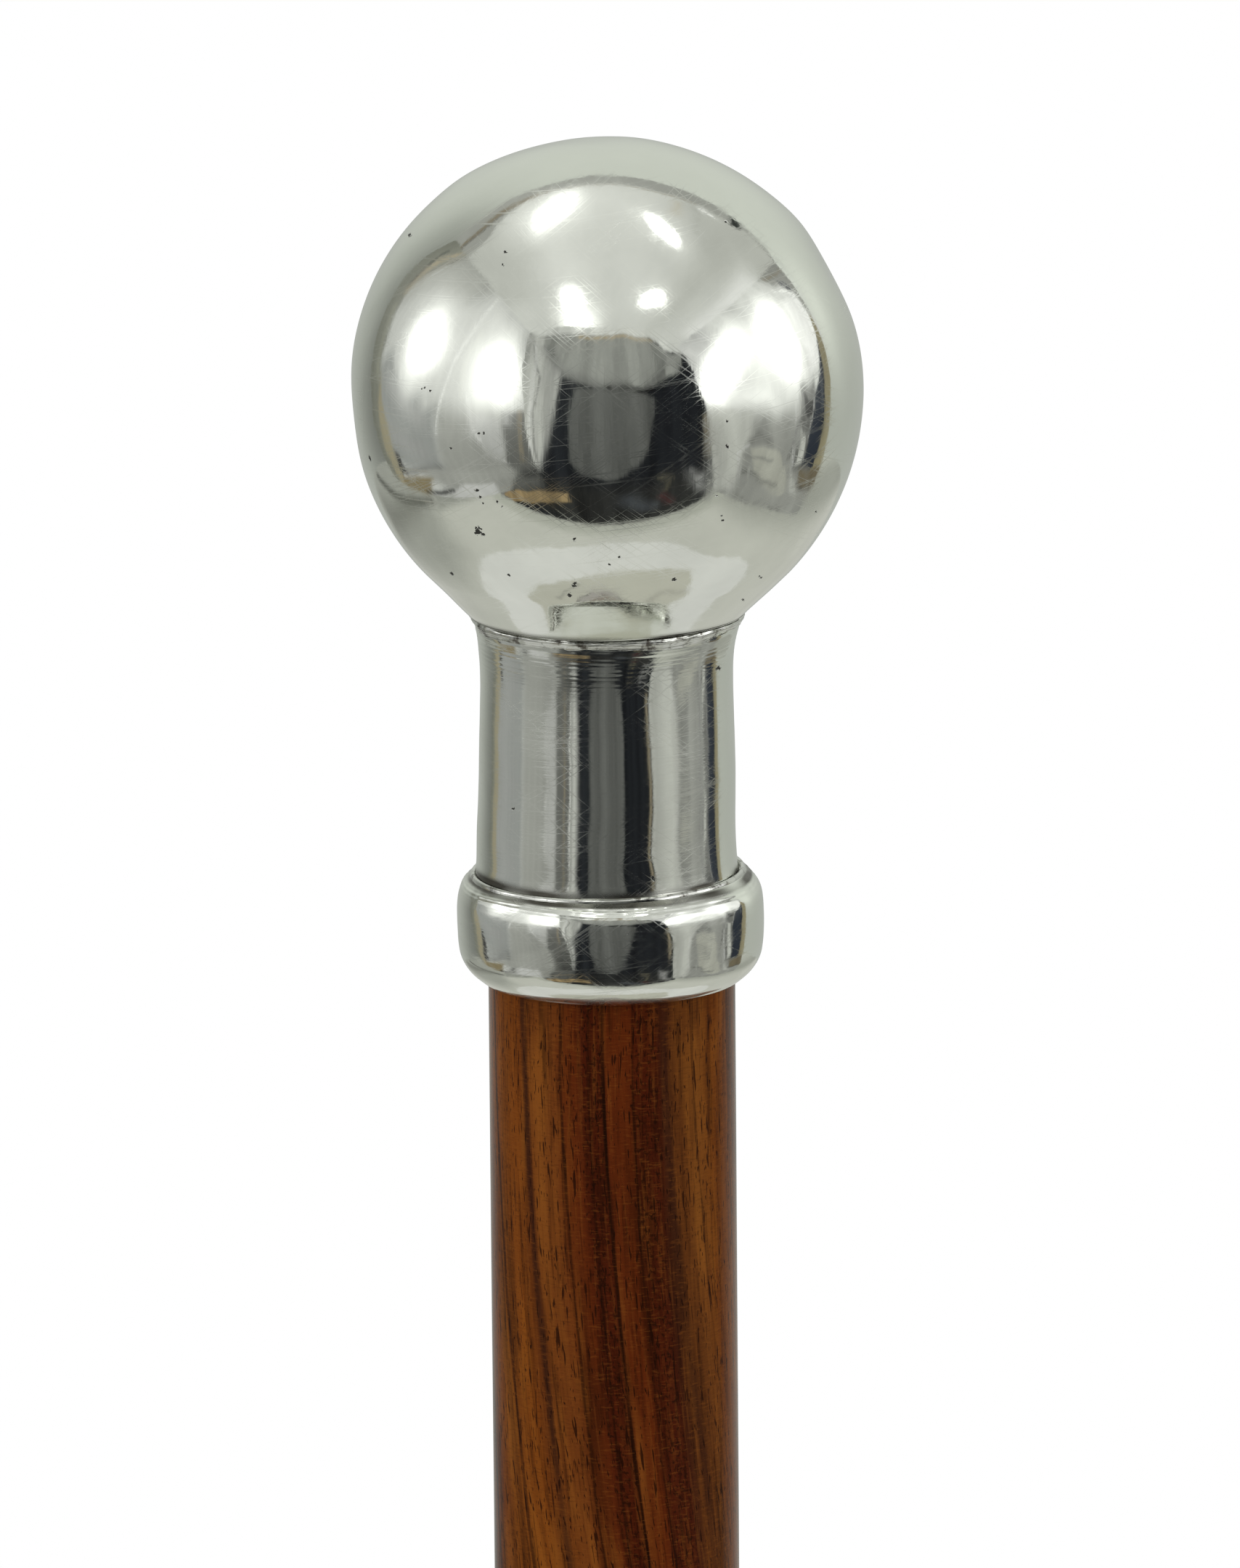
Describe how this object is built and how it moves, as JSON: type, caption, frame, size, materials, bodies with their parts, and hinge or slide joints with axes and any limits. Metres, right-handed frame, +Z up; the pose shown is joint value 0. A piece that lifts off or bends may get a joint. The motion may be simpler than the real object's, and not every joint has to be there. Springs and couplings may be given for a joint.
{
  "type": "knob handle walking stick",
  "caption": "Straight walking stick with a polished metal ball knob on a short neck and collar, screwed onto a tapered hardwood shaft with a ribbed rubber ferrule.",
  "frame": {"origin": "centre of the ferrule's tread, on the ground under the stick", "axes": "+Z up the stick towards the ball knob; the stick is round, so X and Y are free, with the picture taken from -Y"},
  "size_m": [0.0414, 0.0414, 0.92],
  "materials": {
    "pewter": "cast pewter, hand polished to a soft mirror, with fine scratches and a few pores",
    "solder": "bright soft solder, filed by hand",
    "zinc_steel": "zinc plated steel",
    "washer_leather": "plain brown leather",
    "rosewood": "rosewood with a clear gloss lacquer",
    "ferrule_rubber": "matt moulded black rubber"
  },
  "bodies": {
    "stick": {"shaft": "rosewood", "joint_stud": "zinc_steel"},
    "washer": {"seat_washer": "washer_leather"},
    "handle": {"knob_ball": "pewter", "neck_sleeve": "pewter", "collar_ring": "pewter", "solder_ring_upper": "solder", "solder_ring_lower": "solder", "thread_bush": "zinc_steel"},
    "foot": {"ferrule": "ferrule_rubber", "ferrule_washer": "zinc_steel"}
  },
  "joints": [
    {"name": "handle_rise", "type": "slide", "parent": "stick", "child": "washer", "axis": [0, 0, 1], "range_m": [0, 0.01]},
    {"name": "handle_turn", "type": "hinge", "parent": "washer", "child": "handle", "pos_m": [0, 0, 0.87], "axis": [0, 0, 1], "range_deg": [0, 2881]},
    {"name": "ferrule_pull", "type": "slide", "parent": "stick", "child": "foot", "axis": [0, 0, -1], "range_m": [0, 0.031]}
  ],
  "couplings": [
    {"joint": "handle_turn", "follows": "handle_rise", "rad_per_m": 5026.5}
  ]
}
